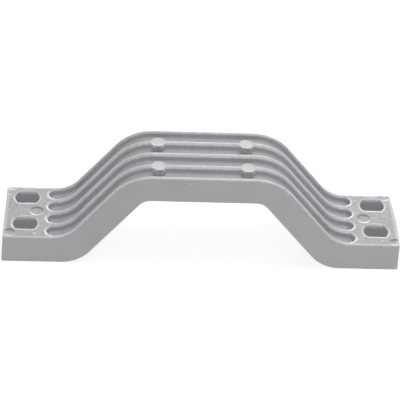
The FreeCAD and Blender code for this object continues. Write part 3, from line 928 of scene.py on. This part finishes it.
class GeometryTree(Tree):
    """A geometry node tree with named inputs."""

    def __init__(self, name):
        super().__init__(bpy.data.node_groups.new(name, "GeometryNodeTree"))
        self.tree.is_modifier = True
        self.socket("Geometry", "NodeSocketGeometry", "INPUT")
        self.socket("Geometry", "NodeSocketGeometry", "OUTPUT")
        self.inputs = self.add("NodeGroupInput")
        self.result = self.add("NodeGroupOutput")

    def socket(self, name, kind, way, default=None):
        """Adds a named input or output to the tree."""
        made = self.tree.interface.new_socket(name, in_out=way, socket_type=kind)
        if default is not None:
            made.default_value = default

    def given(self, name):
        """What comes in by one of the tree's inputs."""
        return self.inputs.outputs[name]

    def drawn(self, name):
        """The geometry of an object that comes in by an input."""
        info = self.add("GeometryNodeObjectInfo")
        self.link(self.given(name), info.inputs["Object"])
        return info.outputs["Geometry"]

    def named(self, name):
        """A number that is kept at each point."""
        node = self.add("GeometryNodeInputNamedAttribute", data_type="FLOAT")
        node.inputs["Name"].default_value = name
        return node.outputs["Attribute"]

    def apply(self, piece, values):
        """Runs the tree on a piece with values by input name, and leaves a plain mesh."""
        modifier = piece.modifiers.new(self.tree.name, "NODES")
        modifier.node_group = self.tree
        for item in self.tree.interface.items_tree:
            if item.item_type == "SOCKET" and item.in_out == "INPUT" and item.name in values:
                modifier[item.identifier] = values[item.name]
        bpy.context.view_layer.update()
        evaluated = piece.evaluated_get(bpy.context.evaluated_depsgraph_get())
        mesh = bpy.data.meshes.new_from_object(evaluated)
        piece.modifiers.remove(modifier)
        piece.data = mesh


def place_on_line(tree, name, along):
    """Place and upward normal on one of the two lines, at a length along it."""
    curve = tree.add("GeometryNodeMeshToCurve")
    tree.link(tree.drawn(name), curve.inputs["Mesh"])
    fillet = tree.add("GeometryNodeFilletCurve", mode="POLY")
    fillet.inputs["Count"].default_value = BEND_POINTS
    tree.link(curve.outputs[0], fillet.inputs["Curve"])
    tree.link(tree.named("bend"), fillet.inputs["Radius"])
    sample = tree.add("GeometryNodeSampleCurve", mode="LENGTH")
    tree.link(fillet.outputs[0], sample.inputs["Curves"])
    tree.link(along, sample.inputs["Length"])
    x, _, z = tree.split(sample.outputs["Tangent"])
    return sample.outputs["Position"], tree.combine(tree.math("MULTIPLY", z, -1.0), 0.0, x)


def bend_skin(tree):
    """The unrolled skin, bent along its two lines and closed at its seams."""
    along = tree.math("ADD", tree.named("along"), (UPPER_LENGTH + LINE_SPARE) * MM)
    upper, normal = place_on_line(tree, "Upper line", along)
    top = tree.vector("ADD", upper, tree.scaled(normal, tree.named("lift")))
    below = tree.math("ADD", tree.named("below"), (LOWER_LENGTH + LINE_SPARE) * MM)
    lower, normal = place_on_line(tree, "Lower line", below)
    sole = tree.vector("ADD", lower, tree.scaled(normal, tree.named("sole_lift")))
    drop = tree.named("drop")
    top_part = tree.scaled(top, tree.math("SUBTRACT", 1.0, drop))
    x, _, z = tree.split(tree.vector("ADD", top_part, tree.scaled(sole, drop)))
    narrowing = tree.math("MULTIPLY", z, tree.given("Side lean"))
    half_width = tree.math("SUBTRACT", tree.given("Half width"), narrowing)
    side_part = tree.math("MULTIPLY", tree.named("side"), half_width)
    y = tree.math("ADD", tree.named("across"), side_part)
    bend = tree.add("GeometryNodeSetPosition")
    tree.link(tree.given("Geometry"), bend.inputs["Geometry"])
    tree.link(tree.combine(x, y, z), bend.inputs["Position"])
    weld = tree.add("GeometryNodeMergeByDistance")
    weld.inputs["Distance"].default_value = WELD
    tree.link(bend.outputs[0], weld.inputs["Geometry"])
    return weld.outputs[0]


def seat_studs(tree):
    """A stud on each stud place."""
    studs = tree.add("GeometryNodeInstanceOnPoints")
    tree.link(tree.drawn("Stud places"), studs.inputs["Points"])
    tree.link(tree.drawn("Stud"), studs.inputs["Instance"])
    real = tree.add("GeometryNodeRealizeInstances")
    tree.link(studs.outputs[0], real.inputs["Geometry"])
    return real.outputs[0]


def cast_rise(tree, scale, height):
    """How far a noise of the given scale lifts the skin at each point."""
    noise = tree.add("ShaderNodeTexNoise", noise_dimensions="4D")
    tree.link(tree.add("GeometryNodeInputPosition").outputs[0], noise.inputs["Vector"])
    tree.link(tree.given("Seed"), noise.inputs["W"])
    noise.inputs["Scale"].default_value = scale
    noise.inputs["Detail"].default_value = CAST_DETAIL
    return tree.math("MULTIPLY", tree.math("SUBTRACT", noise.outputs["Fac"], 0.5), height)


def casting_tree():
    """The tree that bends the skin, seats the studs and gives both a cast surface."""
    tree = GeometryTree("bend and cast the bar")
    for name in ("Upper line", "Lower line", "Stud", "Stud places"):
        tree.socket(name, "NodeSocketObject", "INPUT")
    tree.socket("Half width", "NodeSocketFloat", "INPUT", BASE_HALF_WIDTH * MM)
    tree.socket("Side lean", "NodeSocketFloat", "INPUT", SIDE_LEAN)
    tree.socket("Wave height", "NodeSocketFloat", "INPUT", WAVE_HEIGHT)
    tree.socket("Grain height", "NodeSocketFloat", "INPUT", GRAIN_HEIGHT)
    tree.socket("Seed", "NodeSocketFloat", "INPUT", CAST_SEED)
    tree.socket("Finish", "NodeSocketMaterial", "INPUT")

    join = tree.add("GeometryNodeJoinGeometry")
    tree.link(bend_skin(tree), join.inputs[0])
    tree.link(seat_studs(tree), join.inputs[0])

    # The uneven skin of a casting: long low waves with finer grains on them.
    waves = cast_rise(tree, WAVE_SCALE, tree.given("Wave height"))
    grains = cast_rise(tree, GRAIN_SCALE, tree.given("Grain height"))
    normal = tree.add("GeometryNodeInputNormal")
    cast = tree.add("GeometryNodeSetPosition")
    tree.link(join.outputs[0], cast.inputs["Geometry"])
    rise = tree.scaled(normal.outputs[0], tree.math("ADD", waves, grains))
    tree.link(rise, cast.inputs["Offset"])

    smooth = tree.add("GeometryNodeSetShadeSmooth")
    tree.link(cast.outputs[0], smooth.inputs["Geometry"])
    real = tree.add("GeometryNodeRealizeInstances")
    tree.link(smooth.outputs[0], real.inputs["Geometry"])
    finish = tree.add("GeometryNodeSetMaterial")
    tree.link(real.outputs[0], finish.inputs["Geometry"])
    tree.link(tree.given("Finish"), finish.inputs["Material"])
    tree.link(finish.outputs[0], tree.result.inputs["Geometry"])
    return tree


def casting_finish():
    """Bare die-cast metal: light grey and sandy, paler with painted highlights and darker with
    painted shade.
    """
    material = bpy.data.materials.new("bare_casting")
    material.use_nodes = True
    tree = Tree(material.node_tree)
    shader = material.node_tree.nodes["Principled BSDF"]
    coordinates = tree.add("ShaderNodeTexCoord").outputs["Object"]

    def noise(scale, detail, roughness):
        node = tree.add("ShaderNodeTexNoise")
        tree.link(coordinates, node.inputs["Vector"])
        node.inputs["Scale"].default_value = scale
        node.inputs["Detail"].default_value = detail
        node.inputs["Roughness"].default_value = roughness
        return node.outputs["Fac"]

    def mix(factor, first, second):
        node = tree.add("ShaderNodeMix", data_type="RGBA")
        tree.feed(node.inputs["Factor"], factor)
        tree.feed(node.inputs["A"], first)
        tree.feed(node.inputs["B"], second)
        return node.outputs["Result"]

    def kept(name):
        return tree.add("ShaderNodeAttribute", attribute_name=name).outputs["Fac"]

    # Plain metal, with sand in it and the grit of its upper flats.
    sand = noise(*SAND_NOISE)
    base = mix(noise(*CLOUD_NOISE), PLAIN_DARK, PLAIN_LIGHT)
    base = mix(tree.math("MULTIPLY", sand, SAND_SHARE), base, SANDY)
    on_top = tree.math("SUBTRACT", 1.0, tree.math("MULTIPLY", kept("drop"), DROP_FADE))
    on_flat = tree.math("ADD", 1.0, tree.math("MULTIPLY", kept("lift"), DEPTH_FADE))
    on_flat = tree.math("MAXIMUM", on_flat, GRIT_LEAST)
    upper_flat = tree.math("MULTIPLY", tree.math("MAXIMUM", on_top, 0.0), on_flat)
    grit = tree.math("SUBTRACT", noise(*GRIT_NOISE), 0.5)
    grit = tree.math("MULTIPLY", grit, tree.math("MULTIPLY", upper_flat, GRIT))
    base = tree.scaled(base, tree.math("ADD", grit, 1.0))

    # Painted highlights, rubbed places and single bright specks, and painted shade.
    tone = kept("tone")
    speck = tree.math("SUBTRACT", noise(*SPECK_NOISE), SPECK_LEVEL)
    speck = tree.math("MAXIMUM", tree.math("MULTIPLY", speck, SPECK_GAIN), 0.0)
    highlight_and_wear = tree.math("MULTIPLY", tree.math("MAXIMUM", tone, speck), HIGHLIGHT_AND_WEAR_SHARE)
    painted_shade = tree.math("MULTIPLY", tree.math("MINIMUM", tone, 0.0), -PAINTED_SHADE_SHARE)
    base = mix(painted_shade, mix(highlight_and_wear, base, HIGHLIGHT_AND_WEAR), PAINTED_SHADE)
    tree.link(base, shader.inputs["Base Color"])
    shader.inputs["Metallic"].default_value = METALLIC

    # Sand makes it rougher, and the places with the most painted highlight are smoother.
    rough = tree.math("ADD", tree.math("MULTIPLY", sand, SAND_ROUGHNESS), ROUGHNESS)
    gloss = tree.math("MAXIMUM", tree.math("SUBTRACT", highlight_and_wear, GLOSS_START), 0.0)
    rough = tree.math("SUBTRACT", rough, tree.math("MULTIPLY", gloss, GLOSS))
    tree.link(rough, shader.inputs["Roughness"])
    bump = tree.add("ShaderNodeBump")
    bump.inputs["Strength"].default_value = BUMP_STRENGTH
    bump.inputs["Distance"].default_value = BUMP_HEIGHT
    tree.link(sand, bump.inputs["Height"])
    tree.link(bump.outputs["Normal"], shader.inputs["Normal"])
    return material


def make_casting():
    """The dressed casting, in place of its CAD solid."""
    flat = draw_skin()
    upper = draw_line("upper_line", UPPER_LINE)
    lower = draw_line("lower_line", LOWER_LINE)
    stud = draw_stud()
    seats = [(x * MM, y * MM, BRIDGE_TOP * MM) for x, y in STUD_PLACES]
    places = mesh_from("stud_places", seats, [])
    casting_tree().apply(flat, {
        "Upper line": upper,
        "Lower line": lower,
        "Stud": stud,
        "Stud places": places,
        "Half width": BASE_HALF_WIDTH * MM,
        "Side lean": SIDE_LEAN,
        "Wave height": WAVE_HEIGHT,
        "Grain height": GRAIN_HEIGHT,
        "Seed": CAST_SEED,
        "Finish": casting_finish(),
    })
    for helper in (upper, lower, stud, places):
        bpy.data.objects.remove(helper)
    flat.name = "dressed_casting"
    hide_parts("anode_casting")
    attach(flat, "root")


def is_seen(tree):
    """1 for rays from the camera, also by a mirror or through glass, and 0 for other light."""
    path = tree.add("ShaderNodeLightPath")
    seen = tree.math("MAXIMUM", path.outputs["Is Camera Ray"], path.outputs["Is Glossy Ray"])
    return tree.math("MAXIMUM", seen, path.outputs["Is Transmission Ray"])


def add_floor():
    """A wide white floor that shows as the plain background and keeps the bar's shadow."""
    reach = FLOOR_REACH
    corners = ((-reach, -reach), (reach, -reach), (reach, reach), (-reach, reach))
    floor = mesh_from("floor", [(x, y, FLOOR_Z) for x, y in corners], [(0, 1, 2, 3)])
    material = bpy.data.materials.new("floor_white")
    material.use_nodes = True
    tree = Tree(material.node_tree)
    nodes = material.node_tree.nodes
    nodes.remove(nodes["Principled BSDF"])
    diffuse = tree.add("ShaderNodeBsdfDiffuse")
    diffuse.inputs["Color"].default_value = FLOOR_COLOUR
    glow = tree.add("ShaderNodeEmission")
    glow.inputs["Color"].default_value = WHITE
    tree.link(tree.math("MULTIPLY", is_seen(tree), FLOOR_GLOW), glow.inputs["Strength"])
    both = tree.add("ShaderNodeAddShader")
    tree.link(diffuse.outputs[0], both.inputs[0])
    tree.link(glow.outputs[0], both.inputs[1])
    tree.link(both.outputs[0], nodes["Material Output"].inputs["Surface"])
    floor.data.materials.append(material)


def light_scene():
    """A white surround and two soft lamps: one overhead and a low one behind, for the edges."""
    world = bpy.data.worlds.new("studio")
    bpy.context.scene.world = world
    world.use_nodes = True
    tree = Tree(world.node_tree)
    background = world.node_tree.nodes["Background"]
    extra = tree.math("MULTIPLY", is_seen(tree), 1 - SURROUND)
    tree.link(tree.math("ADD", extra, SURROUND), background.inputs["Strength"])
    background.inputs["Color"].default_value = WHITE

    for name, place, width, power in LAMPS:
        lamp = bpy.data.lights.new(name, "AREA")
        lamp.shape = "DISK"
        lamp.size = width
        lamp.energy = power
        holder = bpy.data.objects.new(name, lamp)
        bpy.context.scene.collection.objects.link(holder)
        holder.location = place
        aim = Vector(LAMP_TARGET) - Vector(place)
        holder.rotation_euler = aim.to_track_quat("-Z", "Y").to_euler()


def spin(angle):
    """A turn about the third axis."""
    cos, sin = math.cos(angle), math.sin(angle)
    return Matrix(((cos, -sin, 0), (sin, cos, 0), (0, 0, 1)))


def place_camera():
    """The camera at the photograph's angle."""
    cos, sin = math.cos(PITCH), math.sin(PITCH)
    tilt = Matrix(((1, 0, 0), (0, -sin, -cos), (0, cos, -sin)))
    view = spin(ROLL) @ tilt @ spin(YAW)
    place = Vector((0.0, 0.0, PAD_TOP)) - view.transposed() @ Vector(CAMERA_OFFSET)
    camera = bpy.data.cameras.new("camera")
    camera.sensor_width = SENSOR_WIDTH
    camera.lens = FOCAL / PICTURE_WIDTH * SENSOR_WIDTH
    holder = bpy.data.objects.new("camera", camera)
    bpy.context.scene.collection.objects.link(holder)
    axes = Matrix((view[0], -view[1], -view[2])).transposed()
    holder.matrix_world = Matrix.Translation(place * MM) @ axes.to_4x4()
    bpy.context.scene.camera = holder


make_casting()
add_floor()
light_scene()
place_camera()
bpy.context.scene.view_settings.view_transform = "Standard"
